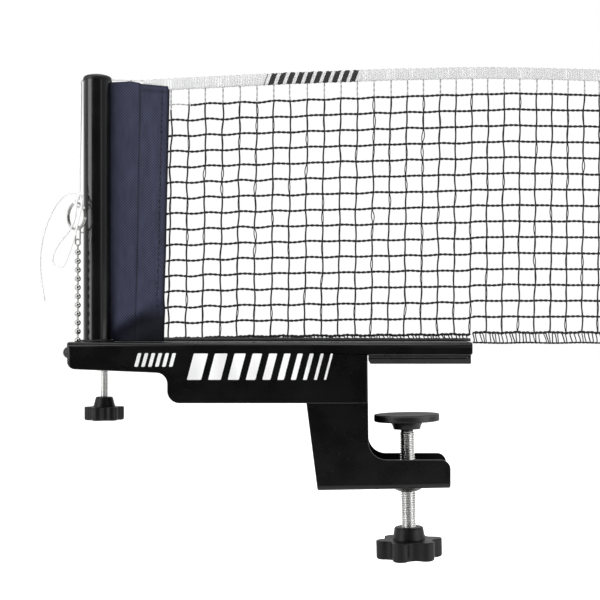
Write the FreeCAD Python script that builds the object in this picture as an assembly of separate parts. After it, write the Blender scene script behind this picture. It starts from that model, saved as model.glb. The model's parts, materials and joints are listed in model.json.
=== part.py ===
import FreeCAD, Part
import math
import os

# Table tennis net clamp with its post, tension chain and the end of the net.
# Millimetres. +X runs towards the table and along the net, +Y away from the branded side,
# +Z up. The origin is on the table's top surface, which is the underside of the upper jaw
# pad, plumb above the point where the clamp screw crosses its nut.

V = FreeCAD.Vector
os.makedirs("parts", exist_ok=True)

# ---- bracket: arm channel ----
SHEET = 1.5                 # steel thickness of both channels
ARM_HALF = 20.0             # half the arm's width
ARM_LEFT = -178.35          # outer face of the end wall
ARM_RIGHT = 33.0            # end of the upper jaw
ARM_TOP = 11.4
ARM_LIP = 4.7               # lower edge of the upper jaw's side plates
ARM_END_BOTTOM = -2.7       # lower edge of the side plates at the end wall
ARM_STEP_X = -125.9         # where the side plates deepen
ARM_STEP_Z = -4.9
ARM_BELLY = -20.5           # lower edge of the deep part
THROAT_X = -21.7            # edge that the table's side meets
TOP_BEND = 3.0              # outer radius of the folds along the top
END_BEND = 2.0              # outer radius of the folds at the end wall

# ---- bracket: jaw channel ----
JAW_HALF = ARM_HALF - SHEET - 0.05
JAW_FLOOR = -65.4           # underside of the lower jaw, at the screw
JAW_TOP = -50.1             # upper edge of the lower jaw's side plates
JAW_RIGHT = 21.7
JAW_HEAD = 8.2              # how high the leg reaches inside the arm, short of the arm's fold
LEG_SLOPE = 5.7 / 44.6      # sideways run of the leg's outer edge per millimetre of height
LEG_FOOT_X = -47.85         # outer edge of the leg at the floor
THROAT_SHIFT = 0.7          # how much nearer the table the leg's inner edge is at the bottom
FLOOR_BEND = 2.6
LEAN = 1.1                  # degrees by which the lower jaw's floor and its screw lean
LEAN_PIVOT = V(0, 0, -61.0)

# ---- upper pad ----
PAD_LEFT = -21.2
PAD_RIGHT = 32.2
PAD_LEDGE_TOP = ARM_LIP
PAD_LEDGE_BOTTOM = 3.4
RUBBER_TOP = 2.5
PAD_RIVET_X = (-9.0, 20.0)

# ---- clamp screw, pressure pad, knob ----
M8 = 4.0                    # thread radius
RUNNING = 0.05              # radial clearance of threads and journals
NECK = 2.5                  # plain journal at the screw's tip
DISC_R = 17.5
DISC_TOP = -27.4
FACING = 1.0
DISC_BOTTOM = -31.2
HUB_BOTTOM = -35.4
COLLAR_BOTTOM = -36.5
KNOB_R = 17.9
KNOB_VALLEY = 13.1
KNOB_TOP = -94.4
KNOB_BOTTOM = -104.4
KNOB_HUB_TOP = -87.8
LOBES = 6

# ---- post ----
POST_X = -166.45
POST_R = 7.4
POST_WALL = 1.0
POST_FOOT = 1.2             # lower end of the tube, inside the arm
POST_TOP = 151.0
CAP_R = 7.6
CAP_TOP = 154.7
GROOVE_FLOOR = 151.2
GROOVE = 1.8
BUSH_R = 8.3
BUSH_FLANGE_R = 8.95
BUSH_FLANGE_TOP = 12.5
ROD_R = 3.0
SLOT = 3.0

# ---- height screw ----
M4 = 2.0
HEIGHT_X = -162.8
HEIGHT_TIP = 3.1
PLATE_TOP = -0.5
SMALL_KNOB_R = 10.4
SMALL_KNOB_VALLEY = 8.2
SMALL_KNOB_TOP = -23.4
SMALL_KNOB_BOTTOM = -30.6
SMALL_HUB_TOP = -18.1

# ---- chain ----
CHAIN_X = -174.95
CHAIN_Y = -9.0
BEAD_R = 1.6
BEAD_PITCH = 4.65
BEADS = 13
FIRST_BEAD = 58.7
LINK_R = 0.45
RIVET_Y = 14.5
RIVET_Z = 5.8
RING_R = 7.0
RING_WIRE = 0.5
RING_CENTRE = V(-175.73, -8.374, 77.9)
RING_SIDE = V(0.78, -0.626, 0.0)       # level direction in the ring's plane
RING_NORMAL = V(0.626, 0.78, 0.0)
EYE_Z = 64.0
EYE_R = 1.6
HOOK_WIRE = 0.4
KNOT = V(-173.7, -8.7, 88.3)
KNOT_R = 1.7

# ---- net ----
NET_RIGHT = 106.0           # where the modelled section of the net stops
SLEEVE_TOP = 150.6
SLEEVE_BOTTOM = 12.9
SEAM_TOP_X = -128.2         # edge where the net is sewn to the sleeve
SEAM_BOTTOM_X = -131.2
TAPE_LEFT = -142.0
TAPE_HEIGHT = 5.8
TAPE_ENDS_TOP = (151.9, 157.6, 156.6)   # top edge at its left end, at x = 0 and at its right end
BAND_TOP = 15.7
BAND_BOTTOM = 11.9
FREE_BAND_DROP = 1.2        # how much lower the band hangs past the arm
CORD_D = 1.0


# ---- helpers ----
def unit(vector):
    result = V(vector)
    result.normalize()
    return result


def rounded_corner(before, point, after, radius):
    """Start, middle and end of the arc that rounds one corner of a path."""
    back = unit(before - point)
    ahead = unit(after - point)
    turn = math.pi - back.getAngle(ahead)
    reach = radius * math.tan(turn / 2)
    middle = unit(back + ahead) * (radius / math.cos(turn / 2) - radius)
    return point + back * reach, point + middle, point + ahead * reach


def closed_wire(corners, place):
    """Closed outline from (u, v, radius) corners; place turns (u, v) into a point."""
    points = [place(u, v) for u, v, radius in corners]
    count = len(corners)
    arcs = []
    for i in range(count):
        radius = corners[i][2]
        if radius > 0:
            arcs.append(rounded_corner(points[i - 1], points[i], points[(i + 1) % count], radius))
        else:
            arcs.append((points[i], None, points[i]))
    edges = []
    for i in range(count):
        start, middle, end = arcs[i]
        if middle is not None:
            edges.append(Part.Arc(start, middle, end).toShape())
        following = arcs[(i + 1) % count][0]
        if (following - end).Length > 1e-6:
            edges.append(Part.LineSegment(end, following).toShape())
    return Part.Wire(edges)


def prism_y(corners, y0, y1):
    """Outline in X and Z, extruded along Y."""
    wire = closed_wire(corners, lambda u, v: V(u, y0, v))
    return Part.Face(wire).extrude(V(0, y1 - y0, 0))


def prism_x(corners, x0, x1):
    """Outline in Y and Z, extruded along X."""
    wire = closed_wire(corners, lambda u, v: V(x0, u, v))
    return Part.Face(wire).extrude(V(x1 - x0, 0, 0))


def prism_z(corners, z0, z1):
    """Outline in X and Y, extruded along Z."""
    wire = closed_wire(corners, lambda u, v: V(u, v, z0))
    return Part.Face(wire).extrude(V(0, 0, z1 - z0))


def box(x0, x1, y0, y1, z0, z1):
    return Part.makeBox(x1 - x0, y1 - y0, z1 - z0, V(x0, y0, z0))


def cylinder(x, y, z0, z1, radius):
    return Part.makeCylinder(radius, z1 - z0, V(x, y, z0))


def turned(x, y, profile):
    """Solid of revolution about the vertical axis through x, y.

    profile is a closed list of (radius, z, corner radius).
    """
    wire = closed_wire(profile, lambda u, v: V(x + u, y, v))
    return Part.Face(wire).revolve(V(x, y, 0), V(0, 0, 1), 360)


def torus(centre, normal, ring_radius, wire_radius):
    return Part.makeTorus(ring_radius, wire_radius, centre, normal)


def star(x, y, z0, z1, tip, valley, lobe_radius, phase):
    """Knob rim with round lobes joined by tangent hollows."""
    reach = tip - lobe_radius
    half = math.pi / LOBES
    side = 2 * reach * math.cos(half)
    rest = lobe_radius ** 2 - reach ** 2 - valley ** 2 + side * valley
    hollow = rest / (2 * valley - side - 2 * lobe_radius)
    far = valley + hollow

    def polar(radius, angle):
        return V(x + radius * math.cos(angle), y + radius * math.sin(angle), z0)

    def touch(lobe_angle, hollow_angle):
        lobe = polar(reach, lobe_angle)
        return lobe + unit(polar(far, hollow_angle) - lobe) * lobe_radius

    edges = []
    for i in range(LOBES):
        angle = math.radians(phase) + 2 * half * i
        start = touch(angle, angle - half)
        end = touch(angle, angle + half)
        following = touch(angle + 2 * half, angle + half)
        edges.append(Part.Arc(start, polar(tip, angle), end).toShape())
        edges.append(Part.Arc(end, polar(valley, angle + half), following).toShape())
    return Part.Face(Part.Wire(edges)).extrude(V(0, 0, z1 - z0))


def level_edges(solid, z):
    """Edges of a solid that lie at one height."""
    found = []
    for edge in solid.Edges:
        bounds = edge.BoundBox
        if abs(bounds.ZMin - z) < 1e-4 and abs(bounds.ZMax - z) < 1e-4:
            found.append(edge)
    return found


def cord(name, route, diameter):
    """Tube along straight runs joined by tangent arcs.

    route is a list of (x, y, z) or (x, y, z, radius); without a radius the arc is as large as
    its two runs allow.
    """
    points = [V(*entry[:3]) for entry in route]
    edges = []
    radii = []
    position = points[0]
    for i in range(1, len(points) - 1):
        before = points[i - 1]
        point = points[i]
        after = points[i + 1]
        turn = math.pi - (before - point).getAngle(after - point)
        shorter = min((before - point).Length, (after - point).Length)
        radius = 0.45 * shorter / math.tan(turn / 2)
        if len(route[i]) == 4:
            radius = route[i][3]
        radii.append(round(radius, 1))
        start, middle, end = rounded_corner(before, point, after, radius)
        edges.append(Part.LineSegment(position, start).toShape())
        edges.append(Part.Arc(start, middle, end).toShape())
        position = end
    edges.append(Part.LineSegment(position, points[-1]).toShape())
    path = Part.Wire(edges)
    circle = Part.makeCircle(diameter / 2, points[0], unit(points[1] - points[0]))
    tube = path.makePipeShell([Part.Wire(circle)], True, False)
    expected = math.pi * diameter ** 2 / 4 * path.Length
    print(name, "length", round(path.Length, 1), "radii", radii, "volume ratio",
          round(tube.Volume / expected, 4))
    return tube


def save(name, shape):
    if shape.ShapeType == "Compound" and len(shape.Solids) == 1:
        shape = shape.Solids[0]
    clean = shape.removeSplitter()
    print(name, "solids", len(clean.Solids), "valid", clean.isValid(), "mm3", round(clean.Volume, 1))
    clean.exportStep("parts/" + name + ".step")


# ---- bracket ----
def arm_channel():
    outline = [
        (ARM_LEFT, ARM_TOP, 1.3),
        (ARM_RIGHT, ARM_TOP, 1.0),
        (ARM_RIGHT, ARM_LIP, 1.2),
        (THROAT_X, ARM_LIP, 0.8),
        (THROAT_X, ARM_BELLY, 0.8),
        (ARM_STEP_X, ARM_BELLY, 6.4),
        (ARM_STEP_X, ARM_STEP_Z, 5.8),
        (ARM_LEFT, ARM_END_BOTTOM, 4.7),
    ]
    section = [
        (-ARM_HALF, -60.0, 0),
        (-ARM_HALF, ARM_TOP, TOP_BEND),
        (ARM_HALF, ARM_TOP, TOP_BEND),
        (ARM_HALF, -60.0, 0),
    ]
    plan = [
        (ARM_LEFT, -ARM_HALF, END_BEND),
        (ARM_RIGHT + 1, -ARM_HALF, 0),
        (ARM_RIGHT + 1, ARM_HALF, 0),
        (ARM_LEFT, ARM_HALF, END_BEND),
    ]
    body = prism_y(outline, -ARM_HALF, ARM_HALF)
    body = body.common(prism_x(section, ARM_LEFT - 1, ARM_RIGHT + 1))
    body = body.common(prism_z(plan, -61.0, ARM_TOP + 1))
    inner_half = ARM_HALF - SHEET
    inner = [
        (-inner_half, -61.0, 0),
        (-inner_half, ARM_TOP - SHEET, TOP_BEND - SHEET),
        (inner_half, ARM_TOP - SHEET, TOP_BEND - SHEET),
        (inner_half, -61.0, 0),
    ]
    body = body.cut(prism_x(inner, ARM_LEFT + SHEET, ARM_RIGHT + 2))
    body = body.cut(cylinder(POST_X, 0, 5, 15, BUSH_R))
    body = body.cut(cylinder(CHAIN_X, CHAIN_Y, 9, 15, 2.1))
    body = body.cut(box(CHAIN_X - 0.95, CHAIN_X + 0.95, CHAIN_Y - 5.0, CHAIN_Y, 9, 15))
    for side in (-1, 1):
        hole = Part.makeCylinder(1.7, 6, V(ARM_LEFT - 2, side * RIVET_Y, RIVET_Z), V(1, 0, 0))
        body = body.cut(hole)
    for x in PAD_RIVET_X:
        body = body.cut(pad_rivet(x))
    return body


def leg_x(z, inset):
    """Outer edge of the sloping leg at a height, moved inwards by inset."""
    return LEG_FOOT_X - (z - JAW_FLOOR) * LEG_SLOPE + inset * math.hypot(1, LEG_SLOPE)


def leaned(shape):
    """The lower jaw's floor is a little out of parallel with the upper jaw, and its screw with it."""
    shape.rotate(LEAN_PIVOT, V(0, 1, 0), -LEAN)
    return shape


def leaned_height(x, z):
    """Height at x of the leaned plane that is at z where the screw crosses it."""
    lean = math.radians(LEAN)
    return LEAN_PIVOT.z + (z - LEAN_PIVOT.z) / math.cos(lean) + x * math.tan(lean)


def jaw_channel():
    foot = leaned_height(LEG_FOOT_X, JAW_FLOOR)
    outline = [
        (leg_x(JAW_HEAD, 0), JAW_HEAD, 0),
        (THROAT_X, JAW_HEAD, 0),
        (THROAT_X + THROAT_SHIFT, JAW_TOP, 9.5),
        (JAW_RIGHT, JAW_TOP, 5.0),
        (JAW_RIGHT, leaned_height(JAW_RIGHT, JAW_FLOOR), 1.0),
        (leg_x(foot, 0), foot, 0.8),
    ]
    section = [
        (-JAW_HALF, JAW_FLOOR, FLOOR_BEND),
        (JAW_HALF, JAW_FLOOR, FLOOR_BEND),
        (JAW_HALF, JAW_HEAD + 4, 0),
        (-JAW_HALF, JAW_HEAD + 4, 0),
    ]
    body = prism_y(outline, -JAW_HALF, JAW_HALF)
    body = body.common(leaned(prism_x(section, -70, JAW_RIGHT + 5)))
    inner_half = JAW_HALF - SHEET
    floor = JAW_FLOOR + SHEET
    inner_foot = leaned_height(LEG_FOOT_X, floor)
    inner = [
        (leg_x(20, SHEET), 20, 0),
        (JAW_RIGHT + 5, 20, 0),
        (JAW_RIGHT + 5, leaned_height(JAW_RIGHT + 5, floor), 0),
        (leg_x(inner_foot, SHEET), inner_foot, 0.6),
    ]
    inner_section = [
        (-inner_half, floor, FLOOR_BEND - SHEET),
        (inner_half, floor, FLOOR_BEND - SHEET),
        (inner_half, 25, 0),
        (-inner_half, 25, 0),
    ]
    hollow = prism_y(inner, -inner_half, inner_half)
    hollow = hollow.common(leaned(prism_x(inner_section, -75, JAW_RIGHT + 8)))
    body = body.cut(hollow)
    return body.cut(leaned(cylinder(0, 0, JAW_FLOOR - 1, JAW_FLOOR + 3, 5.5)))


def jaw_nut():
    dome_base = 9.8
    dome_height = 4.1
    dome_radius = (dome_base ** 2 + dome_height ** 2) / (2 * dome_height)
    centre = V(0, 0, JAW_FLOOR - dome_height + dome_radius)
    dome = Part.makeSphere(dome_radius, centre)
    dome = dome.common(cylinder(0, 0, JAW_FLOOR - dome_height - 1, JAW_FLOOR, dome_base + 1))
    neck = cylinder(0, 0, JAW_FLOOR, JAW_FLOOR + SHEET, 5.5)
    hexagon = []
    across_corners = 13.0 / math.sqrt(3)
    for i in range(6):
        angle = math.radians(60 * i)
        hexagon.append((across_corners * math.cos(angle), across_corners * math.sin(angle), 0.4))
    head = prism_z(hexagon, JAW_FLOOR + SHEET, JAW_FLOOR + SHEET + 5.5)
    nut = dome.fuse(neck).fuse(head)
    return leaned(nut.cut(cylinder(0, 0, JAW_FLOOR - 10, JAW_FLOOR + 20, M8 + RUNNING)))


def pad_rivet(x):
    """Countersunk rivet, flush with the top of the arm."""
    head = Part.makeCone(1.6, 3.5, 1.4, V(x, 0, ARM_TOP - 1.4))
    return head.fuse(cylinder(x, 0, ARM_LIP + 0.8, ARM_TOP - 1.4, 1.6))


def pad_rivets():
    return Part.makeCompound([pad_rivet(x) for x in PAD_RIVET_X])


def pad_carrier():
    inner_half = ARM_HALF - SHEET - 0.2
    end_lip = 2.0
    core = box(THROAT_X + 1.0, PAD_RIGHT - 0.6, -inner_half, inner_half,
               PAD_LEDGE_TOP, ARM_TOP - SHEET)
    core = core.makeFillet(2.0, [e for e in core.Edges if e.Length > 50 and e.BoundBox.ZMin > 8])
    ledge = box(PAD_LEFT, PAD_RIGHT, -ARM_HALF, ARM_HALF, PAD_LEDGE_BOTTOM, PAD_LEDGE_TOP)
    neck = box(PAD_LEFT + 0.3, PAD_RIGHT - end_lip, -ARM_HALF + 0.8, ARM_HALF - 0.8,
               RUBBER_TOP, PAD_LEDGE_BOTTOM)
    lip = box(PAD_RIGHT - end_lip, PAD_RIGHT, -ARM_HALF, ARM_HALF, RUBBER_TOP, PAD_LEDGE_BOTTOM)
    body = core.fuse(ledge).fuse(neck).fuse(lip)
    for x in PAD_RIVET_X:
        body = body.cut(pad_rivet(x))
    return body


def upper_pad():
    outline = [
        (PAD_LEFT, RUBBER_TOP, 0),
        (PAD_RIGHT, RUBBER_TOP, 0),
        (PAD_RIGHT, 0, 0.6),
        (PAD_LEFT + 1.0, 0, 0.3),
        (PAD_LEFT, 1.7, 0.3),
    ]
    return prism_y(outline, -ARM_HALF, ARM_HALF)


def end_rivets():
    solids = []
    for side in (-1, 1):
        start = V(ARM_LEFT + 2 * SHEET + 0.9, side * RIVET_Y, RIVET_Z)
        clinch = Part.makeCylinder(2.8, 0.9, start, V(-1, 0, 0))
        shank = Part.makeCylinder(1.7, 2 * SHEET + 0.9, start, V(-1, 0, 0))
        height = 2.9
        base = 3.2
        radius = (base ** 2 + height ** 2) / (2 * height)
        ball = Part.makeSphere(radius, V(ARM_LEFT - height + radius, side * RIVET_Y, RIVET_Z))
        keep = Part.makeCylinder(6, 6, V(ARM_LEFT - 6, side * RIVET_Y, RIVET_Z), V(1, 0, 0))
        solids.append(clinch.fuse(shank).fuse(ball.common(keep)))
    return Part.makeCompound(solids)


def nut_bracket():
    half = ARM_HALF - SHEET - 0.6
    wall = ARM_LEFT + SHEET
    body = box(wall, -153.0, -half, half, PLATE_TOP - SHEET, PLATE_TOP)
    for side in (-1, 1):
        y0, y1 = sorted((side * half, side * 11.6))
        body = body.fuse(box(wall, wall + SHEET, y0, y1, PLATE_TOP - SHEET, 9.2))
        hole = Part.makeCylinder(1.7, 6, V(wall - 2, side * RIVET_Y, RIVET_Z), V(1, 0, 0))
        body = body.cut(hole)
    body = body.cut(box(wall - 1, CHAIN_X + 2.9, CHAIN_Y - 2.3, CHAIN_Y + 2.3,
                        PLATE_TOP - SHEET - 1, PLATE_TOP + 1))
    return body.cut(cylinder(HEIGHT_X, 0, PLATE_TOP - 5, PLATE_TOP + 5, 3.6))


def height_nut():
    bottom = PLATE_TOP - SHEET
    profile = [
        (M4 + RUNNING, 0.1, 0),
        (3.6, 0.1, 0),
        (3.6, bottom, 0),
        (4.8, bottom, 0),
        (4.8, bottom - 1.4, 0.4),
        (3.4, bottom - 2.4, 0.4),
        (M4 + RUNNING, bottom - 2.4, 0),
    ]
    return turned(HEIGHT_X, 0, profile)


def post_guide_bush():
    bore = POST_R + 0.1
    profile = [
        (bore, 2.0, 0),
        (BUSH_R, 2.0, 0),
        (BUSH_R, ARM_TOP, 0),
        (BUSH_FLANGE_R, ARM_TOP, 0),
        (BUSH_FLANGE_R, BUSH_FLANGE_TOP, 0.8),
        (bore, BUSH_FLANGE_TOP, 0),
    ]
    return turned(POST_X, 0, profile)


# ---- post ----
def post_tube():
    body = cylinder(POST_X, 0, POST_FOOT, POST_TOP, POST_R)
    body = body.cut(cylinder(POST_X, 0, POST_FOOT - 1, POST_TOP + 1, POST_R - POST_WALL))
    return body.cut(box(POST_X, POST_X + 10, -SLOT / 2, SLOT / 2, SLEEVE_BOTTOM, POST_TOP + 1))


def post_cap():
    crown = CAP_TOP - 1.0
    plug = POST_R - POST_WALL - 0.05
    wire = Part.Wire([
        Part.LineSegment(V(POST_X, 0, POST_TOP - 6), V(POST_X + plug, 0, POST_TOP - 6)).toShape(),
        Part.LineSegment(V(POST_X + plug, 0, POST_TOP - 6), V(POST_X + plug, 0, POST_TOP)).toShape(),
        Part.LineSegment(V(POST_X + plug, 0, POST_TOP), V(POST_X + CAP_R, 0, POST_TOP)).toShape(),
        Part.LineSegment(V(POST_X + CAP_R, 0, POST_TOP), V(POST_X + CAP_R, 0, 152.0)).toShape(),
        Part.Arc(V(POST_X + CAP_R, 0, 152.0), V(POST_X + CAP_R - 0.5, 0, 153.1),
                 V(POST_X + CAP_R - 1.7, 0, crown)).toShape(),
        Part.Arc(V(POST_X + CAP_R - 1.7, 0, crown), V(POST_X + 3, 0, CAP_TOP - 0.25),
                 V(POST_X, 0, CAP_TOP)).toShape(),
        Part.LineSegment(V(POST_X, 0, CAP_TOP), V(POST_X, 0, POST_TOP - 6)).toShape(),
    ])
    body = Part.Face(wire).revolve(V(POST_X, 0, 0), V(0, 0, 1), 360)
    body = body.cut(box(POST_X - 10, POST_X + 10, -GROOVE / 2, GROOVE / 2, GROOVE_FLOOR, 160))
    return body.cut(box(POST_X + 2, POST_X + 10, -SLOT / 2, SLOT / 2, POST_TOP - 7, POST_TOP))


def post_foot():
    inner = POST_R - POST_WALL
    profile = [
        (0, POST_FOOT, 0),
        (inner, POST_FOOT, 0),
        (inner, POST_FOOT + 8, 0.5),
        (0, POST_FOOT + 8, 0),
    ]
    plug = turned(POST_X, 0, profile)
    return plug.cut(cylinder(HEIGHT_X, 0, POST_FOOT - 1, HEIGHT_TIP + 0.1, M4 + RUNNING))


def sleeve_rod():
    return cylinder(POST_X, 0, SLEEVE_BOTTOM + 0.2, POST_TOP - 6.3, ROD_R)


def sleeve_outline(grow):
    """Corners of the fabric sleeve's flat panel, in X and Z."""
    return [
        (POST_X + ROD_R + 0.8, SLEEVE_BOTTOM - grow, 0),
        (SEAM_BOTTOM_X + grow, SLEEVE_BOTTOM - grow, 0),
        (SEAM_TOP_X + grow, 148.2 + grow, 0),
        (TAPE_LEFT, 149.4 + grow, 0),
        (TAPE_LEFT - 1.0, SLEEVE_TOP, 0),
        (POST_X + ROD_R + 0.8, SLEEVE_TOP, 0),
    ]


def net_sleeve():
    hem = cylinder(POST_X, 0, SLEEVE_BOTTOM + 0.3, POST_TOP - 6.4, ROD_R + 0.8)
    panel = prism_y(sleeve_outline(0), -0.7, 0.7)
    tongue = box(POST_X + ROD_R, POST_X + ROD_R + 1, -0.7, 0.7, SLEEVE_BOTTOM + 0.3, POST_TOP - 6.4)
    rod = cylinder(POST_X, 0, 0, 200, ROD_R)
    return hem.fuse(tongue).cut(rod).fuse(panel)


def net_top_tape():
    top = Part.Arc(V(TAPE_LEFT, 0, TAPE_ENDS_TOP[0]), V(0, 0, TAPE_ENDS_TOP[1]),
                   V(NET_RIGHT, 0, TAPE_ENDS_TOP[2]))
    down = V(0, 0, -TAPE_HEIGHT)
    low = Part.Arc(V(TAPE_LEFT, 0, TAPE_ENDS_TOP[0]) + down, V(0, 0, TAPE_ENDS_TOP[1]) + down,
                   V(NET_RIGHT, 0, TAPE_ENDS_TOP[2]) + down)
    wire = Part.Wire([
        top.toShape(),
        Part.LineSegment(V(NET_RIGHT, 0, TAPE_ENDS_TOP[2]),
                         V(NET_RIGHT, 0, TAPE_ENDS_TOP[2]) + down).toShape(),
        low.toShape(),
        Part.LineSegment(V(TAPE_LEFT, 0, TAPE_ENDS_TOP[0]) + down,
                         V(TAPE_LEFT, 0, TAPE_ENDS_TOP[0])).toShape(),
    ])
    body = Part.Face(wire).extrude(V(0, 1.8, 0))
    body.translate(V(0, -0.9, 0))
    return body.cut(prism_y(sleeve_outline(0.1), -2, 2))


def net_mesh():
    gap = 0.1
    down = V(0, 0, -TAPE_HEIGHT - gap)
    low = Part.Arc(V(TAPE_LEFT, 0, TAPE_ENDS_TOP[0]) + down, V(0, 0, TAPE_ENDS_TOP[1]) + down,
                   V(NET_RIGHT, 0, TAPE_ENDS_TOP[2]) + down)
    bottom = BAND_TOP + gap
    wire = Part.Wire([
        low.toShape(),
        Part.LineSegment(low.EndPoint, V(NET_RIGHT, 0, bottom)).toShape(),
        Part.LineSegment(V(NET_RIGHT, 0, bottom), V(TAPE_LEFT, 0, bottom)).toShape(),
        Part.LineSegment(V(TAPE_LEFT, 0, bottom), low.StartPoint).toShape(),
    ])
    body = Part.Face(wire).extrude(V(0, 1.0, 0))
    body.translate(V(0, -0.5, 0))
    left_of_seam = [
        (TAPE_LEFT - 5, 0, 0),
        (SEAM_BOTTOM_X + gap, 0, 0),
        (SEAM_BOTTOM_X + gap, SLEEVE_BOTTOM, 0),
        (SEAM_TOP_X + gap, 148.2, 0),
        (SEAM_TOP_X + gap, 170, 0),
        (TAPE_LEFT - 5, 170, 0),
    ]
    return body.cut(prism_y(left_of_seam, -2, 2))


def net_bottom_band():
    step = ARM_RIGHT + 1.0
    outline = [
        (SEAM_BOTTOM_X + 0.2, BAND_BOTTOM, 0),
        (step, BAND_BOTTOM, 0),
        (step + 0.6, BAND_BOTTOM - FREE_BAND_DROP, 0),
        (NET_RIGHT, BAND_BOTTOM - FREE_BAND_DROP, 0),
        (NET_RIGHT, BAND_TOP, 0),
        (SEAM_BOTTOM_X + 0.2, BAND_TOP, 0),
    ]
    return prism_y(outline, -0.5, 0.5)


# ---- chain ----
def ball_chain():
    top = EYE_Z - EYE_R - HOOK_WIRE
    bottom = FIRST_BEAD - (BEADS - 1) * BEAD_PITCH
    body = cylinder(CHAIN_X, CHAIN_Y, bottom, top, LINK_R)
    for i in range(BEADS):
        body = body.fuse(Part.makeSphere(BEAD_R, V(CHAIN_X, CHAIN_Y, FIRST_BEAD - i * BEAD_PITCH)))
    return body


def tension_ring():
    coils = []
    for side in (-1, 1):
        coils.append(torus(RING_CENTRE + RING_NORMAL * (0.42 * side), RING_NORMAL, RING_R, RING_WIRE))
    return coils[0].fuse(coils[1])


def ring_point(height_sign):
    """Point of the ring above or below the chain's axis."""
    offset = (V(CHAIN_X, CHAIN_Y, 0) - V(RING_CENTRE.x, RING_CENTRE.y, 0)).Length
    rise = math.sqrt(RING_R ** 2 - offset ** 2)
    return V(CHAIN_X, CHAIN_Y, RING_CENTRE.z + height_sign * rise)


def chain_hook():
    bend = 1.55
    centre = ring_point(-1)
    side = RING_NORMAL
    top = centre + V(0, 0, -0.1)
    left = top - side * bend
    right = top + side * bend
    eye = V(CHAIN_X, CHAIN_Y, EYE_Z)
    left_low = eye - side * 1.5 + V(0, 0, 1.0)
    right_low = eye + side * 1.5 + V(0, 0, 1.0)
    path = Part.Wire([
        Part.LineSegment(left_low, left).toShape(),
        Part.Arc(left, top + V(0, 0, bend), right).toShape(),
        Part.LineSegment(right, right_low).toShape(),
    ])
    circle = Part.Wire(Part.makeCircle(HOOK_WIRE, left_low, unit(left - left_low)))
    body = path.makePipeShell([circle], True, False)
    body = body.fuse(torus(eye, V(side.y, -side.x, 0), EYE_R, HOOK_WIRE))
    tag = Part.makeCylinder(HOOK_WIRE, 1.9, right + V(0, 0, -1.6), V(0.98, -0.2, 0))
    return body.fuse(tag)


def cord_knot():
    ball = Part.makeSphere(KNOT_R, KNOT)
    eye = torus(V(CHAIN_X + 0.3, CHAIN_Y + 0.1, 85.05), V(RING_SIDE.x, RING_SIDE.y, 0), 2.35, 0.5)
    return ball.fuse(eye)


# Each cord's route, from where it leaves the object.
NET_CORD_ROUTE = [
    (TAPE_LEFT - 0.2, 0, 151.5),
    (-158.8, 0, 151.9),
    (-174.7, 0, 151.85, 1.5),
    (-174.6, -7.4, 94.5),
    (-173.75, -8.6, 90.5),
]
CORD_LOOP_ROUTE = [
    (-174.2, -10.3, 88.1),
    (-174.9, -13.6, 84.4),
    (-174.6, -14.3, 79.0),
    (-176.0, -14.3, 73.0),
    (-179.4, -14.3, 68.0),
    (-183.4, -14.3, 63.4),
    (-186.2, -14.3, 58.6),
    (-187.2, -14.3, 53.8),
    (-185.7, -14.4, 51.1),
    (-183.0, -14.6, 50.3),
    (-180.5, -14.9, 51.5),
    (-178.5, -15.2, 56.4),
    (-176.6, -15.5, 61.8),
    (-174.6, -15.8, 67.8),
    (-173.2, -15.8, 74.2),
    (-172.0, -15.0, 80.4),
    (-171.6, -12.6, 85.4),
    (-173.2, -10.2, 87.8),
]
CORD_TAIL_ROUTE = [
    (-175.05, -8.85, 89.2),
    (-179.2, -9.4, 90.8),
    (-184.6, -9.9, 86.4),
    (-190.4, -10.2, 76.2),
    (-194.2, -10.2, 62.6),
    (-194.9, -10.0, 47.4),
    (-192.2, -10.0, 32.7),
]


# ---- pressure pad ----
def pressure_pad():
    rim = DISC_TOP - FACING
    low = DISC_BOTTOM + 0.7
    wire = Part.Wire([
        Part.LineSegment(V(3.9, 0, rim), V(DISC_R, 0, rim)).toShape(),
        Part.LineSegment(V(DISC_R, 0, rim), V(DISC_R, 0, low)).toShape(),
        Part.Arc(V(DISC_R, 0, low), V(DISC_R - 0.2, 0, low - 0.5), V(DISC_R - 0.7, 0, DISC_BOTTOM)).toShape(),
        Part.LineSegment(V(DISC_R - 0.7, 0, DISC_BOTTOM), V(9.4, 0, DISC_BOTTOM)).toShape(),
        Part.Arc(V(9.4, 0, DISC_BOTTOM), V(8.0, 0, -32.9), V(7.2, 0, HUB_BOTTOM)).toShape(),
        Part.LineSegment(V(7.2, 0, HUB_BOTTOM), V(NECK + RUNNING, 0, HUB_BOTTOM)).toShape(),
        Part.LineSegment(V(NECK + RUNNING, 0, HUB_BOTTOM), V(NECK + RUNNING, 0, -33.4)).toShape(),
        Part.LineSegment(V(NECK + RUNNING, 0, -33.4), V(3.9, 0, -33.4)).toShape(),
        Part.LineSegment(V(3.9, 0, -33.4), V(3.9, 0, rim)).toShape(),
    ])
    return leaned(Part.Face(wire).revolve(V(0, 0, 0), V(0, 0, 1), 360))


def pad_facing():
    profile = [
        (0, DISC_TOP - FACING, 0),
        (DISC_R - 0.05, DISC_TOP - FACING, 0),
        (DISC_R - 0.05, DISC_TOP, 0.35),
        (0, DISC_TOP, 0),
    ]
    return leaned(turned(0, 0, profile))


def pad_retainer():
    profile = [
        (NECK + RUNNING, HUB_BOTTOM, 0),
        (3.4, HUB_BOTTOM, 0),
        (3.4, COLLAR_BOTTOM, 0.3),
        (NECK + RUNNING, COLLAR_BOTTOM, 0),
    ]
    return leaned(turned(0, 0, profile))


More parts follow.
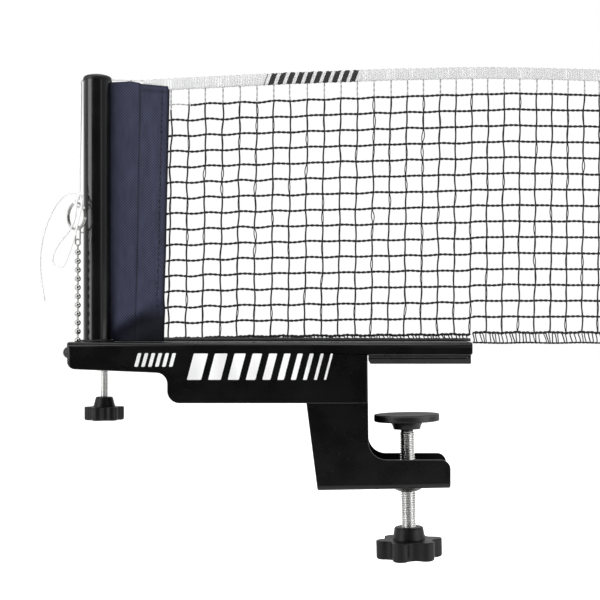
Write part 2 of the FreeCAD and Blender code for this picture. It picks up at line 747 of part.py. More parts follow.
# ---- screws and knobs ----
def clamp_screw():
    shoulder = COLLAR_BOTTOM - 0.1
    profile = [
        (0, -101.0, 0),
        (M8 - 0.6, -101.0, 0),
        (M8, -100.4, 0),
        (M8, shoulder - 0.7, 0),
        (M8 - 0.7, shoulder, 0),
        (NECK, shoulder, 0),
        (NECK, -33.3, 0),
        (3.6, -33.3, 0),
        (3.6, -31.6, 0.4),
        (0, -31.6, 0),
    ]
    return leaned(turned(0, 0, profile))


def knob_insert(x, bottom, top, radius, bore):
    """Knurled metal sleeve moulded into a knob, with an undercut that keeps it there."""
    middle = (bottom + top) / 2
    profile = [
        (bore, bottom, 0),
        (radius, bottom, 0),
        (radius, middle - 1, 0),
        (radius - 0.6, middle - 1, 0),
        (radius - 0.6, middle + 1, 0),
        (radius, middle + 1, 0),
        (radius, top, 0),
        (bore, top, 0),
    ]
    return turned(x, 0, profile)


def knob(x, rim, hub, insert, bore, screw_end):
    """Star knob: rim, rounded conical hub, room for its insert and its screw."""
    tip, valley, lobe_radius, phase, bottom, top, edge = rim
    hub_low, hub_high, hub_top = hub
    body = star(x, 0, bottom, top, tip, valley, lobe_radius, phase)
    body = body.makeFillet(edge, level_edges(body, bottom))
    body = body.makeFillet(edge / 3, level_edges(body, top))
    profile = [
        (0, top - 1, 0),
        (hub_low, top - 1, 0),
        (hub_low, top, 0),
        (hub_high, hub_top, 0.9),
        (0, hub_top, 0),
    ]
    body = body.fuse(turned(x, 0, profile))
    body = body.cut(insert)
    return body.cut(cylinder(x, 0, screw_end, hub_top + 1, bore))


def clamp_knob_insert():
    return leaned(knob_insert(0, -100.0, -89.5, 5.5, M8))


def clamp_knob():
    rim = (KNOB_R, KNOB_VALLEY, 4.6, 9.0, KNOB_BOTTOM, KNOB_TOP, 1.4)
    hub = (8.65, 7.7, KNOB_HUB_TOP)
    insert = knob_insert(0, -100.0, -89.5, 5.5, M8)
    return leaned(knob(0, rim, hub, insert, M8, -101.0))


def height_screw():
    profile = [
        (0, -28.0, 0),
        (M4, -28.0, 0),
        (M4, HEIGHT_TIP - 0.5, 0),
        (M4 - 0.5, HEIGHT_TIP, 0),
        (0, HEIGHT_TIP, 0),
    ]
    return turned(HEIGHT_X, 0, profile)


def height_knob_insert():
    return knob_insert(HEIGHT_X, -27.5, -20.0, 3.0, M4)


def height_knob():
    rim = (SMALL_KNOB_R, SMALL_KNOB_VALLEY, 3.2, 14.0, SMALL_KNOB_BOTTOM, SMALL_KNOB_TOP, 1.0)
    hub = (5.8, 4.4, SMALL_HUB_TOP)
    return knob(HEIGHT_X, rim, hub, height_knob_insert(), M4, -28.0)


PIECES = {
    "arm_channel": arm_channel,
    "jaw_channel": jaw_channel,
    "jaw_nut": jaw_nut,
    "pad_carrier": pad_carrier,
    "upper_pad": upper_pad,
    "pad_rivets": pad_rivets,
    "end_rivets": end_rivets,
    "nut_bracket": nut_bracket,
    "height_nut": height_nut,
    "post_guide_bush": post_guide_bush,
    "post_tube": post_tube,
    "post_cap": post_cap,
    "post_foot": post_foot,
    "sleeve_rod": sleeve_rod,
    "net_sleeve": net_sleeve,
    "net_top_tape": net_top_tape,
    "net_mesh": net_mesh,
    "net_bottom_band": net_bottom_band,
    "ball_chain": ball_chain,
    "tension_ring": tension_ring,
    "chain_hook": chain_hook,
    "cord_knot": cord_knot,
    "pressure_pad": pressure_pad,
    "pad_facing": pad_facing,
    "pad_retainer": pad_retainer,
    "clamp_screw": clamp_screw,
    "clamp_knob": clamp_knob,
    "clamp_knob_insert": clamp_knob_insert,
    "height_screw": height_screw,
    "height_knob": height_knob,
    "height_knob_insert": height_knob_insert,
}
CORDS = {
    "net_cord": NET_CORD_ROUTE,
    "cord_loop": CORD_LOOP_ROUTE,
    "cord_tail": CORD_TAIL_ROUTE,
}

for piece_name, make in PIECES.items():
    save(piece_name, make())
for cord_name, cord_route in CORDS.items():
    save(cord_name, cord(cord_name, cord_route, CORD_D))
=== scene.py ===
import json
import math
import random

import bpy
import numpy as np
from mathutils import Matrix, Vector, noise


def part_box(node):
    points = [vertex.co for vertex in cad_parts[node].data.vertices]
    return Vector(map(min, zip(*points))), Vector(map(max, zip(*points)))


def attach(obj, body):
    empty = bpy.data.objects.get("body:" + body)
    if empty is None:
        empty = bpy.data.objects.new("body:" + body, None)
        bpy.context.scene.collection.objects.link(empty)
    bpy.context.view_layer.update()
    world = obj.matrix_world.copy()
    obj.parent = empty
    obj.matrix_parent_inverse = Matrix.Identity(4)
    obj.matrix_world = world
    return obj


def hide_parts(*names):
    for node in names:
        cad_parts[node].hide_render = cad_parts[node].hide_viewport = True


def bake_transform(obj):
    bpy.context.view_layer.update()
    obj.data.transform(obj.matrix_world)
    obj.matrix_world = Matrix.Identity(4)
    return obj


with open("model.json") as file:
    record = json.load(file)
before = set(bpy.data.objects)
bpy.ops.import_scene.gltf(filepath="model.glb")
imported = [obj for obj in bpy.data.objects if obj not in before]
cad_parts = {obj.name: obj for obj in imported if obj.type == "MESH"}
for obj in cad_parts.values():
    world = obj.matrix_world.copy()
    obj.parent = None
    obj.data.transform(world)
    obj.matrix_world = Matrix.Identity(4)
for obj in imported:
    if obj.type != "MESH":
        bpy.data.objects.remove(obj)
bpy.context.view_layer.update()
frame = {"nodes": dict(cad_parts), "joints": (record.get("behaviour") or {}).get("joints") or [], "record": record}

# The CAD part's frame: +X towards the table, -Y towards the viewer, +Z up. Places and sizes on the part
# are written in millimetres and scaled by MM where they are handed to Blender, which works in metres.
MM = 0.001
NODES = frame["nodes"]
JOINTS = {joint["name"]: joint for joint in frame["joints"]}
random.seed(11)


def edge(node, axis, end):
    """Where a CAD node's box starts (end 0) or stops (end 1) along X, Y or Z."""
    return round(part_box(node)[end]["XYZ".index(axis)] / MM, 2)


POST_X = (edge("post_tube", "X", 0) + edge("post_tube", "X", 1)) / 2
FLANGE_RIGHT = edge("post_guide_bush", "X", 1)
ARM_TOP = edge("arm_channel", "Z", 1)
ARM_FRONT = edge("arm_channel", "Y", 0)
ARM_END = edge("arm_channel", "X", 1) + 1.0     # the net hangs free past here
NET_END = edge("net_mesh", "X", 1)
TAPE_LEFT = edge("net_top_tape", "X", 0)


def between(x, table):
    """Straight-line reading of a short (x, value) table."""
    return float(np.interp(x, [a for a, b in table], [b for a, b in table]))


def clamped(value):
    return min(1.0, max(0.0, value))


def eased(part):
    """Smooth step from 0 to 1."""
    return part * part * (3 - 2 * part)


def hump(value, width):
    return math.exp(-(value / width) ** 2)


def wander(x, y, z):
    """Smooth noise at a place given in free units."""
    return noise.noise(Vector((x, y, z)))


# ---- materials ----
class Paint:
    """A Principled material under construction, with its nodes added one by one."""

    def __init__(self, name, color, roughness, metallic=0.0, specular=0.5):
        self.material = bpy.data.materials.new(name)
        self.material.use_nodes = True
        self.tree = self.material.node_tree
        self.shader = self.tree.nodes["Principled BSDF"]
        self.color = color
        self.roughness = roughness
        self.shader.inputs["Metallic"].default_value = metallic
        self.shader.inputs["Specular IOR Level"].default_value = specular
        self.shader.inputs["Base Color"].default_value = (*color, 1)
        self.shader.inputs["Roughness"].default_value = roughness
        self.place = self.add("ShaderNodeTexCoord").outputs["Object"]
        self.normal = None

    def add(self, kind, **settings):
        node = self.tree.nodes.new(kind)
        for key, value in settings.items():
            setattr(node, key, value)
        return node

    def link(self, source, target):
        self.tree.links.new(source, target)
        return self

    def noise(self, scale, detail=3.0, stretch=(1, 1, 1)):
        mapping = self.add("ShaderNodeMapping")
        mapping.inputs["Scale"].default_value = stretch
        self.link(self.place, mapping.inputs["Vector"])
        texture = self.add("ShaderNodeTexNoise")
        texture.inputs["Scale"].default_value = scale
        texture.inputs["Detail"].default_value = detail
        self.link(mapping.outputs["Vector"], texture.inputs["Vector"])
        return texture.outputs["Fac"]

    def axis(self, letter):
        split = self.add("ShaderNodeSeparateXYZ")
        self.link(self.place, split.inputs["Vector"])
        return split.outputs[letter]

    def attribute(self, name):
        return self.add("ShaderNodeAttribute", attribute_name=name).outputs["Fac"]

    def math(self, operation, first, second=0.0, third=0.0, clamp=False):
        node = self.add("ShaderNodeMath", operation=operation, use_clamp=clamp)
        for socket, value in zip(node.inputs, (first, second, third)):
            if isinstance(value, (int, float)):
                socket.default_value = value
            else:
                self.link(value, socket)
        return node.outputs["Value"]

    def spread(self, source, low, high, new_low, new_high):
        node = self.add("ShaderNodeMapRange")
        node.inputs["From Min"].default_value = low
        node.inputs["From Max"].default_value = high
        node.inputs["To Min"].default_value = new_low
        node.inputs["To Max"].default_value = new_high
        self.link(source, node.inputs["Value"])
        return node.outputs["Result"]

    def mix(self, factor, first, second):
        node = self.add("ShaderNodeMix", data_type="RGBA")
        sockets = (node.inputs["Factor"], node.inputs[6], node.inputs[7])
        for socket, value in zip(sockets, (factor, first, second)):
            if isinstance(value, (int, float)):
                socket.default_value = value
            elif isinstance(value, (tuple, list)):
                socket.default_value = (*value, 1)
            else:
                self.link(value, socket)
        return node.outputs[2]

    def tint(self, source):
        return self.link(source, self.shader.inputs["Base Color"])

    def rough(self, source):
        return self.link(source, self.shader.inputs["Roughness"])

    def bump(self, height, strength, distance):
        node = self.add("ShaderNodeBump")
        node.inputs["Strength"].default_value = strength
        node.inputs["Distance"].default_value = distance
        self.link(height, node.inputs["Height"])
        if self.normal is not None:
            self.link(self.normal, node.inputs["Normal"])
        self.normal = node.outputs["Normal"]
        return self.link(self.normal, self.shader.inputs["Normal"])


def brighter(color, factor):
    return tuple(min(1.0, c * factor) for c in color)


def coated(name, color, roughness, orange_peel, specks=0.0, specular=0.5):
    """Sprayed coat on steel: fine orange peel, uneven gloss, a few pale dust specks."""
    paint = Paint(name, color, roughness, specular=specular)
    cloud = paint.noise(70, 4)
    paint.rough(paint.spread(cloud, 0.3, 0.7, roughness - 0.05, roughness + 0.07))
    shade = paint.mix(paint.spread(cloud, 0.3, 0.7, 0, 1), brighter(color, 0.85), brighter(color, 1.25))
    if specks:
        dust = paint.spread(paint.noise(1500, 1), 0.72, 0.80, 0, specks)
        shade = paint.mix(dust, shade, (0.12, 0.12, 0.12))
    paint.tint(shade)
    return paint.bump(paint.noise(1300, 2), orange_peel, 0.00006)


def moulded(name, color, roughness, grain=0.12, scale=2200, specular=0.5):
    """Moulded plastic or rubber: fine spark-eroded grain and slight flow marks."""
    plastic = Paint(name, color, roughness, specular=specular)
    flow = plastic.noise(55, 3, (1, 1, 0.35))
    plastic.rough(plastic.spread(flow, 0.3, 0.7, roughness - 0.06, roughness + 0.08))
    streak = plastic.spread(flow, 0.3, 0.7, 0, 1)
    plastic.tint(plastic.mix(streak, brighter(color, 0.8), brighter(color, 1.3)))
    return plastic.bump(plastic.noise(scale, 3), grain, 0.0001)


def plated(name, color, roughness, streak=0.04, stain=0.12):
    """Plated metal: fine turning or drawing lines and a faint cloudy tarnish."""
    metal = Paint(name, color, roughness, metallic=1.0)
    lines = metal.noise(900, 2, (1, 1, 6))
    cloud = metal.noise(160, 4)
    wear = metal.math("ADD", lines, cloud)
    metal.rough(metal.spread(wear, 0.7, 1.3, roughness - streak, roughness + streak))
    metal.tint(metal.mix(metal.spread(cloud, 0.35, 0.75, 0, stain), color, brighter(color, 0.55)))
    return metal.bump(lines, 0.06, 0.00005)


def threaded_metal(name, color, roughness):
    """Zinc plate with painted shade: duller and darker down in the thread's grooves."""
    metal = plated(name, color, roughness)
    metal.tint(metal.mix(metal.attribute("groove"), color, brighter(color, 0.5)))
    return metal


def woven(name, dark, light, yarn):
    """Plain weave cloth in X and Z: warp and weft take turns on top."""
    cloth = Paint(name, dark, 0.82, specular=0.25)
    wave = math.pi / yarn
    across = cloth.math("SINE", cloth.math("MULTIPLY", cloth.axis("X"), wave))
    down = cloth.math("SINE", cloth.math("MULTIPLY", cloth.axis("Z"), wave))
    over = cloth.math("MULTIPLY", across, down)
    slubs = cloth.noise(420, 3, (1, 1, 0.25))
    top = cloth.spread(over, -0.7, 0.7, 0.0, 1.0)
    top = cloth.math("MULTIPLY_ADD", cloth.spread(slubs, 0.3, 0.7, -0.2, 0.2), 1.0, top, clamp=True)
    weave = cloth.mix(top, dark, light)
    # painted shade: the edge attribute darkens the cloth along its edges, at the slot and below the bottom crease
    cloth.tint(cloth.mix(cloth.attribute("edge"), weave, brighter(dark, 0.30)))
    cloth.bump(cloth.math("ABSOLUTE", over), 0.35, 0.00012)
    cloth.bump(slubs, 0.15, 0.0001)
    return cloth


def twisted(name, dark, light, plies):
    """Spun thread: the plies' lay shows as slanted ridges round the strand."""
    thread = Paint(name, dark, 0.75, specular=0.3)
    lay = thread.math("MULTIPLY_ADD", thread.attribute("round"), 2 * math.pi * plies,
                      thread.math("MULTIPLY", thread.attribute("along"), 2 * math.pi / 0.0009))
    ridge = thread.spread(thread.math("SINE", lay), -1, 1, 0, 1)
    fuzz = thread.noise(1600, 2)
    thread.tint(thread.mix(thread.math("MULTIPLY", ridge, fuzz), dark, light))
    thread.bump(ridge, 0.3, 0.00008)
    thread.shader.inputs["Sheen Weight"].default_value = 0.1
    return thread


def corded(name, color):
    """White braided cord and knitted tape yarn."""
    yarn = Paint(name, color, 0.8, specular=0.3)
    wave = math.pi / 0.0007
    slant = yarn.math("ADD", yarn.axis("X"), yarn.axis("Z"))
    lean = yarn.math("SUBTRACT", yarn.axis("Z"), yarn.axis("X"))
    braid = yarn.math("MULTIPLY", yarn.math("SINE", yarn.math("MULTIPLY", slant, wave)),
                      yarn.math("SINE", yarn.math("MULTIPLY", lean, wave)))
    yarn.tint(yarn.mix(yarn.spread(braid, -1, 1, 0, 1), brighter(color, 0.8), brighter(color, 1.1)))
    return yarn.bump(braid, 0.4, 0.0001)


def ribbed_tape():
    """Knitted tape: bright and dull ribs, darker selvedges, and a generic printed bar pattern."""
    base = (0.76, 0.76, 0.765)
    tape = Paint("white_tape", base, 0.85, specular=0.25)
    rib = tape.attribute("rib")
    fibres = tape.noise(1500, 3, (1, 1, 0.2))
    shade = tape.mix(tape.math("MULTIPLY", rib, tape.spread(fibres, 0.3, 0.7, 0.6, 1.3)),
                     brighter(base, 0.90), (0.90, 0.90, 0.91))
    shade = tape.mix(tape.attribute("edge"), shade, brighter(base, 0.72))
    slanted = tape.math("MULTIPLY_ADD", tape.axis("Z"), -0.36, tape.axis("X"))
    bars = tape.math("GREATER_THAN", tape.math("PINGPONG", slanted, 0.0024), 0.00095)
    inside = tape.math("MULTIPLY", tape.math("GREATER_THAN", slanted, PRINT_FROM),
                       tape.math("LESS_THAN", slanted, PRINT_TO))
    tape.tint(tape.mix(tape.math("MULTIPLY", bars, inside), shade, (0.035, 0.035, 0.037)))
    tape.bump(fibres, 0.3, 0.0001)
    return tape


PRINT_FROM = -0.131         # the stretch of tape that has the printed bars
PRINT_TO = -0.081
NAVY = (0.0195, 0.0215, 0.0385)

LOOKS = {
    "bracket_paint": coated("bracket_paint", (0.0024, 0.0024, 0.0025), 0.28, 0.14, 0.30, 0.30),
    "post_paint": coated("post_paint", (0.0036, 0.0036, 0.0037), 0.18, 0.03),
    "black_zinc": coated("black_zinc", (0.005, 0.005, 0.0052), 0.32, 0.12, specular=0.35),
    "zinc_steel": plated("zinc_steel", (0.80, 0.80, 0.79), 0.22),
    "nickel": plated("nickel", (0.44, 0.435, 0.42), 0.15),
    "brass": plated("brass", (0.78, 0.56, 0.25), 0.25),
    "black_plastic": moulded("black_plastic", (0.0045, 0.0045, 0.0047), 0.42, specular=0.32),
    "knob_plastic": moulded("knob_plastic", (0.0042, 0.0042, 0.0044), 0.42, 0.16, 1800, 0.23),
    "rod_plastic": moulded("rod_plastic", (0.72, 0.72, 0.68), 0.45),
    "pad_rubber": moulded("pad_rubber", (0.010, 0.010, 0.0105), 0.60, 0.10),
    "pad_facing": moulded("pad_facing", (0.020, 0.020, 0.021), 0.55, 0.14),
    "navy_fabric": woven("navy_fabric", NAVY, brighter(NAVY, 2.6), 0.76 * MM),
    "net_thread": twisted("net_thread", (0.008, 0.008, 0.0085), (0.035, 0.035, 0.036), 2),
    "white_tape": ribbed_tape(),
    "white_cord": corded("white_cord", (0.88, 0.88, 0.885)),
}
# lighter paint for the bevel faces: a painted highlight along the sheet edges and folds
BRACKET_EDGE_HIGHLIGHT = coated("bracket_edge_highlight", (0.030, 0.030, 0.031), 0.28, 0.10, specular=0.5)
SCREW_ZINC = threaded_metal("screw_zinc", (0.90, 0.90, 0.89), 0.30)
HEM_CORD = twisted("hem_cord", (0.028, 0.028, 0.029), (0.12, 0.12, 0.123), 3)
NAVY_STITCH = twisted("navy_stitch", (0.006, 0.006, 0.014), (0.02, 0.02, 0.035), 3)
WHITE_THREAD = twisted("white_thread", (0.36, 0.36, 0.37), (0.62, 0.62, 0.63), 2)
WHITE_PRINT = moulded("white_print", (0.82, 0.82, 0.82), 0.5, 0.05)


def dress(obj, look):
    obj.data.materials.clear()
    obj.data.materials.append(look.material)
    return obj


# ---- building blocks ----
def mesh_object(name, points, faces, smooth=True, values=None):
    """Mesh from arrays; values holds one float per point for each named attribute."""
    mesh = bpy.data.meshes.new(name)
    mesh.from_pydata(np.asarray(points).tolist(), [], faces)
    mesh.polygons.foreach_set("use_smooth", [smooth] * len(mesh.polygons))
    for key, numbers in (values or {}).items():
        layer = mesh.attributes.new(key, "FLOAT", "POINT")
        layer.data.foreach_set("value", np.asarray(numbers, np.float32))
    mesh.validate()
    obj = bpy.data.objects.new(name, mesh)
    bpy.context.scene.collection.objects.link(obj)
    return obj


def grid_faces(rows, columns, wrap_columns=False, first=0):
    """Quads over a grid of points stored row by row."""
    last = columns if wrap_columns else columns - 1
    faces = []
    for i in range(rows - 1):
        for j in range(last):
            a = first + i * columns + j
            b = first + i * columns + (j + 1) % columns
            faces.append((a, b, b + columns, a + columns))
    return faces


class Threads:
    """Many round strands gathered into one mesh."""

    def __init__(self, sides=6):
        self.sides = sides
        self.points = []
        self.faces = []
        self.along = []
        self.round = []
        self.count = 0

    def strand(self, path, radius, up=(0.0, 1.0, 0.0)):
        """Closed tube along path; radius is one number or one for each point."""
        path = np.asarray(path, float)
        size = len(path)
        tangent = np.gradient(path, axis=0)
        tangent /= np.linalg.norm(tangent, axis=1)[:, None]
        side = np.cross(tangent, np.array(up))
        side /= np.linalg.norm(side, axis=1)[:, None]
        other = np.cross(side, tangent)
        angle = np.arange(self.sides) * 2 * math.pi / self.sides
        spoke = np.cos(angle)[None, :, None] * side[:, None] + np.sin(angle)[None, :, None] * other[:, None]
        rings = path[:, None] + spoke * np.broadcast_to(radius, size)[:, None, None]
        reach = np.concatenate([[0], np.cumsum(np.linalg.norm(np.diff(path, axis=0), axis=1))])
        self.points.append(rings.reshape(-1, 3))
        self.along.append(np.repeat(reach, self.sides))
        self.round.append(np.tile(angle / (2 * math.pi), size))
        self.faces += grid_faces(size, self.sides, True, self.count)
        self.faces.append(tuple(self.count + self.sides - 1 - k for k in range(self.sides)))
        end = self.count + (size - 1) * self.sides
        self.faces.append(tuple(end + k for k in range(self.sides)))
        self.count += size * self.sides

    def build(self, name, look):
        values = {"along": np.concatenate(self.along), "round": np.concatenate(self.round)}
        obj = mesh_object(name, np.concatenate(self.points), self.faces, True, values)
        return dress(obj, look)


def route_curve(name, route, half, closed=False):
    """NURBS curve along a route in millimetres; half is half its thickness, in metres."""
    curve = bpy.data.curves.new(name, "CURVE")
    curve.dimensions = "3D"
    curve.bevel_depth = half
    curve.bevel_resolution = 4
    curve.resolution_u = 10
    curve.use_fill_caps = True
    obj = bpy.data.objects.new(name, curve)
    bpy.context.scene.collection.objects.link(obj)
    add_route(obj, route, closed)
    return obj


def add_route(obj, route, closed=False):
    spline = obj.data.splines.new("NURBS")
    spline.points.add(len(route) - 1)
    for point, place in zip(spline.points, route):
        point.co = (*[value * MM for value in place], 1.0)
    spline.use_cyclic_u = closed
    spline.order_u = 3
    spline.use_endpoint_u = not closed


def spline_points(route):
    """Points along the smooth NURBS line of a route."""
    line = route_curve("line", route, 0.0)
    bpy.context.view_layer.update()
    mesh = bpy.data.meshes.new_from_object(line)
    points = np.array([vertex.co for vertex in mesh.vertices])
    bpy.data.objects.remove(line)
    return points


# ---- camera: where the photo was taken from, level, with the frame shifted onto the object ----
CAMERA_PLACE = (-23.4, -650.0, 17.63)
camera_data = bpy.data.cameras.new("camera")
camera_data.sensor_width = 36.0
camera_data.lens = 72.7
camera_data.shift_x = -0.107
camera_data.shift_y = 0.05
camera_data.clip_start = 0.01
camera_data.clip_end = 50.0
camera = bpy.data.objects.new("camera", camera_data)
camera.location = Vector(CAMERA_PLACE) * MM
camera.rotation_euler = (math.pi / 2, 0, 0)
bpy.context.scene.collection.objects.link(camera)
bpy.context.scene.camera = camera


# ---- cords ----
CORD_HALF = 0.5 * MM
NET_CORD_ROUTE = [
    (-142.2, 0, 151.5),
    (-158.8, 0, 151.9),
    (-168.3, 0, 151.95),
    (-175.5, 0, 152.6),
    (-174.75, -0.9, 145.8),
    (-174.6, -7.4, 94.5),
    (-173.75, -8.6, 90.5),
]
CORD_LOOP_ROUTE = [
    (-174.2, -10.3, 88.1),
    (-174.9, -13.6, 84.4),
    (-174.6, -14.3, 79.0),
    (-176.0, -14.3, 73.0),
    (-179.4, -14.3, 68.0),
    (-183.4, -14.3, 63.4),
    (-186.2, -14.3, 58.6),
    (-187.2, -14.3, 53.8),
    (-185.7, -14.4, 51.1),
    (-183.0, -14.6, 50.3),
    (-180.5, -14.9, 51.5),
    (-178.5, -15.2, 56.4),
    (-176.6, -15.5, 61.8),
    (-174.6, -15.8, 67.8),
    (-173.2, -15.8, 74.2),
    (-172.0, -15.0, 80.4),
    (-171.6, -12.6, 85.4),
    (-173.2, -10.2, 87.8),
]
CORD_TAIL_ROUTE = [
    (-175.05, -8.85, 89.2),
    (-179.2, -9.4, 90.8),
    (-184.6, -9.9, 86.4),
    (-190.4, -10.2, 76.2),
    (-194.2, -10.2, 62.6),
    (-194.9, -10.0, 47.4),
    (-192.2, -10.0, 32.7),
]

cord_line = spline_points(NET_CORD_ROUTE)
cord_tube = Threads(sides=10)
cord_tube.strand(cord_line, CORD_HALF)
net_cord = cord_tube.build("net_cord_line", LOOKS["white_cord"])
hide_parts("net_cord")
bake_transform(net_cord)

cord_loop = route_curve("cord_bow", CORD_LOOP_ROUTE, CORD_HALF)
dress(cord_loop, LOOKS["white_cord"])
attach(cord_loop, "chain")
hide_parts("cord_loop")
cord_tail = route_curve("cord_free_end", CORD_TAIL_ROUTE, CORD_HALF)
dress(cord_tail, LOOKS["white_cord"])
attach(cord_tail, "chain")
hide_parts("cord_tail")

KNOT = (-173.7, -8.7, 88.3)
KNOT_SIZE = 0.46
KNOT_HALF = 0.48 * MM
EYE = (-174.65, -8.9, 85.05)
EYE_R = 2.55
RING_NORMAL = (0.626, 0.78)         # level direction that the ring's plane faces


def trefoil(centre, scale, count=24):
    """Overhand knot drawn up tight."""
    points = []
    for i in range(count):
        t = 2 * math.pi * i / count
        x = math.sin(t) + 2 * math.sin(2 * t)
        z = math.cos(t) - 2 * math.cos(2 * t)
        y = -math.sin(3 * t)
        points.append((centre[0] + scale * x, centre[1] + scale * y, centre[2] + scale * z))
    return points


def eye_loop(centre, along, radius, count=16):
    """Loop of cord that hangs the ring, in the upright plane that holds the level direction along."""
    points = []
    for i in range(count):
        t = 2 * math.pi * i / count
        level = radius * math.cos(t)
        points.append((centre[0] + along[0] * level, centre[1] + along[1] * level,
                       centre[2] + radius * math.sin(t)))
    return points


knot = route_curve("cord_hitch", trefoil(KNOT, KNOT_SIZE), KNOT_HALF, closed=True)
add_route(knot, eye_loop(EYE, RING_NORMAL, EYE_R), closed=True)
dress(knot, LOOKS["white_cord"])
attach(knot, "chain")
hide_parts("cord_knot")


# ---- net ----
COLUMNS = 27
ROWS = 15
FIRST_COLUMN = -126.7
CELL = 9.233                # column i hangs at FIRST_COLUMN + CELL * i - CELL_SHRINK * i * i
CELL_SHRINK = 0.01539
ROW_WAVE = -0.40            # rows dip after every second column
NET_LEFT = -130.8           # threads start inside the sleeve's binding
SHORT_ROW_LEFT = -116.5     # the top row is white up to here
STEP = 0.42                 # spacing of the points along a thread

TOP_ROW = ((-131.0, 138.1), (-9.5, 142.6), (56.5, 144.5), (106.0, 143.5))
LAST_ROW = ((-131.0, 12.9), (-84.5, 14.2), (32.0, 15.3), (36.0, 16.2), (106.0, 16.3))
TAPE_TOP = ((-142.0, 151.6), (-118.0, 152.9), (-65.0, 155.6), (-9.5, 157.6), (40.0, 158.6), (75.0, 158.0),
            (106.0, 157.1))
TAPE_HEIGHT = 6.0
UPWARDS = (0, 0, 1)
SIDEWAYS = (1, 0, 0)
INWARDS = (0, 1, 0)


def column_x(index, depth):
    """Where a column hangs; depth runs from 0 at the top row to 1 at the last."""
    shift = -1.9 + 0.03 * index
    return FIRST_COLUMN + CELL * index - CELL_SHRINK * index ** 2 + shift * depth


def smooth_noise(count, size, seed):
    """count values that wander smoothly by about size."""
    return [size * wander(0.9 * i, seed, 0.37 * seed) * 1.7 for i in range(count)]


row_shift = [smooth_noise(COLUMNS + 1, 0.22, 3.1 + row) for row in range(ROWS + 1)]
column_shift = [smooth_noise(ROWS + 2, 0.42, 41.7 + 2.3 * column) for column in range(COLUMNS)]


def row_height(row, x):
    """Height of a row of knots at x, with its sag from column to column."""
    depth = row / ROWS
    column = (x - FIRST_COLUMN) / 9.0
    base = between(x, TOP_ROW) * (1 - depth) + between(x, LAST_ROW) * depth
    low = int(max(0, min(COLUMNS - 1, math.floor(column))))
    ease = eased(clamped(column - low))
    shift = row_shift[row][low] * (1 - ease) + row_shift[row][low + 1] * ease
    dip = ROW_WAVE * math.cos(math.pi * (column - 1.25)) * math.exp(-column / 14)
    return base + shift + dip


def plies(threads, centre, spread, half, turns, side, phase=0.0):
    """Two strands that twist round a centre line."""
    centre = np.asarray(centre)
    angle = np.asarray(turns) + phase
    for start in (0, math.pi):
        offset = (np.cos(angle + start) * spread)[:, None] * np.array(side)
        offset = offset + (np.sin(angle + start) * 0.16 * MM)[:, None] * np.array(INWARDS)
        threads.strand(centre + offset, half)


def net_row(threads, row, x_from, spread, half, turns):
    """Row of knots; turns gives its twist in radians at each x."""
    xs = np.arange(x_from[0], x_from[1], STEP)
    centre = np.array([(x, 0, row_height(row, x)) for x in xs]) * MM
    plies(threads, centre, spread * MM, half * MM, turns(xs), UPWARDS, 1.7 * row)


def net_rows():
    rows = Threads(sides=6)
    for row in range(ROWS):
        left = SHORT_ROW_LEFT if row == 0 else NET_LEFT
        net_row(rows, row, (left, NET_END), 0.31, 0.37, lambda xs: 2 * math.pi * xs / 5.3)
    return rows.build("net_rows", LOOKS["net_thread"])


def column_line(index, z_low, z_high):
    """Centre line of one column from the bottom up, and how far its plies stand apart."""
    heights = np.arange(z_low, z_high, 0.45)
    centre = []
    apart = []
    top = between(column_x(index, 0), TOP_ROW)
    bottom = between(column_x(index, 1), LAST_ROW)
    for z in heights:
        depth = (top - z) / (top - bottom)
        cell = min(ROWS, max(0.0, depth * ROWS))
        low = int(min(ROWS - 1, math.floor(cell)))
        part = cell - low
        ease = eased(part)
        shift = column_shift[index][low] * (1 - ease) + column_shift[index][low + 1] * ease
        bow = 0.17 * math.sin(math.pi * part) * (1 if (low + index) % 2 else -1)
        loose = wander(index * 3.7, low * 2.1, 5.0)
        centre.append((column_x(index, depth) + shift + bow, 0, z))
        apart.append(0.17 + max(0.0, loose) * 0.75 * math.sin(math.pi * part) ** 2)
    return np.array(centre) * MM, np.array(apart) * MM


def net_columns():
    columns = Threads(sides=5)
    for index in range(COLUMNS):
        over = {0: -2.3, 1: 0.4}.get(index, 0.2)
        top = between(column_x(index, 0), TOP_ROW) + over
        low = between(column_x(index, 1), LAST_ROW)
        centre, apart = column_line(index, low, top)
        turns = np.full(len(centre), 0.35) + 0.25 * np.sin(centre[:, 2] / MM * 0.7 + index)
        plies(columns, centre, apart, 0.29 * MM, turns, SIDEWAYS)
    return columns.build("net_columns", LOOKS["net_thread"])


def white_columns():
    """White thread of the top cells, between the first row and the tape."""
    count = 24
    threads = Threads(sides=5)
    for index in range(COLUMNS):
        x = column_x(index, 0)
        low = between(x, TOP_ROW) + (-2.0 if index == 0 else 0.3)
        high = between(x, TAPE_TOP) - TAPE_HEIGHT + 0.8
        drift = 0.5 * wander(index * 1.9, 0.4, 8.0)
        heights = np.linspace(low, high, count)
        bow = drift * np.sin(np.linspace(0, math.pi, count))
        centre = np.stack([x + column_shift[index][0] + bow, np.zeros(count), heights], axis=1) * MM
        plies(threads, centre, 0.2 * MM, 0.25 * MM, heights * 1.1, SIDEWAYS, index)
    net_row(threads, 0, (NET_LEFT, SHORT_ROW_LEFT + 0.5), 0.2, 0.22, lambda xs: xs * 1.2)
    return threads.build("net_white_columns", WHITE_THREAD)


LADDER_LEFT = -130.6
HEM_FOOT = 11.5             # the hem cord lies just above the arm


def ladder_top(x):
    return between(x, LAST_ROW) + 0.2 * math.sin(x * 0.35) + 0.12 * math.sin(x * 1.1)


def ladder_foot(x):
    return 12.0 if x < ARM_END else 10.75 + 0.15 * math.sin(x * 0.22)


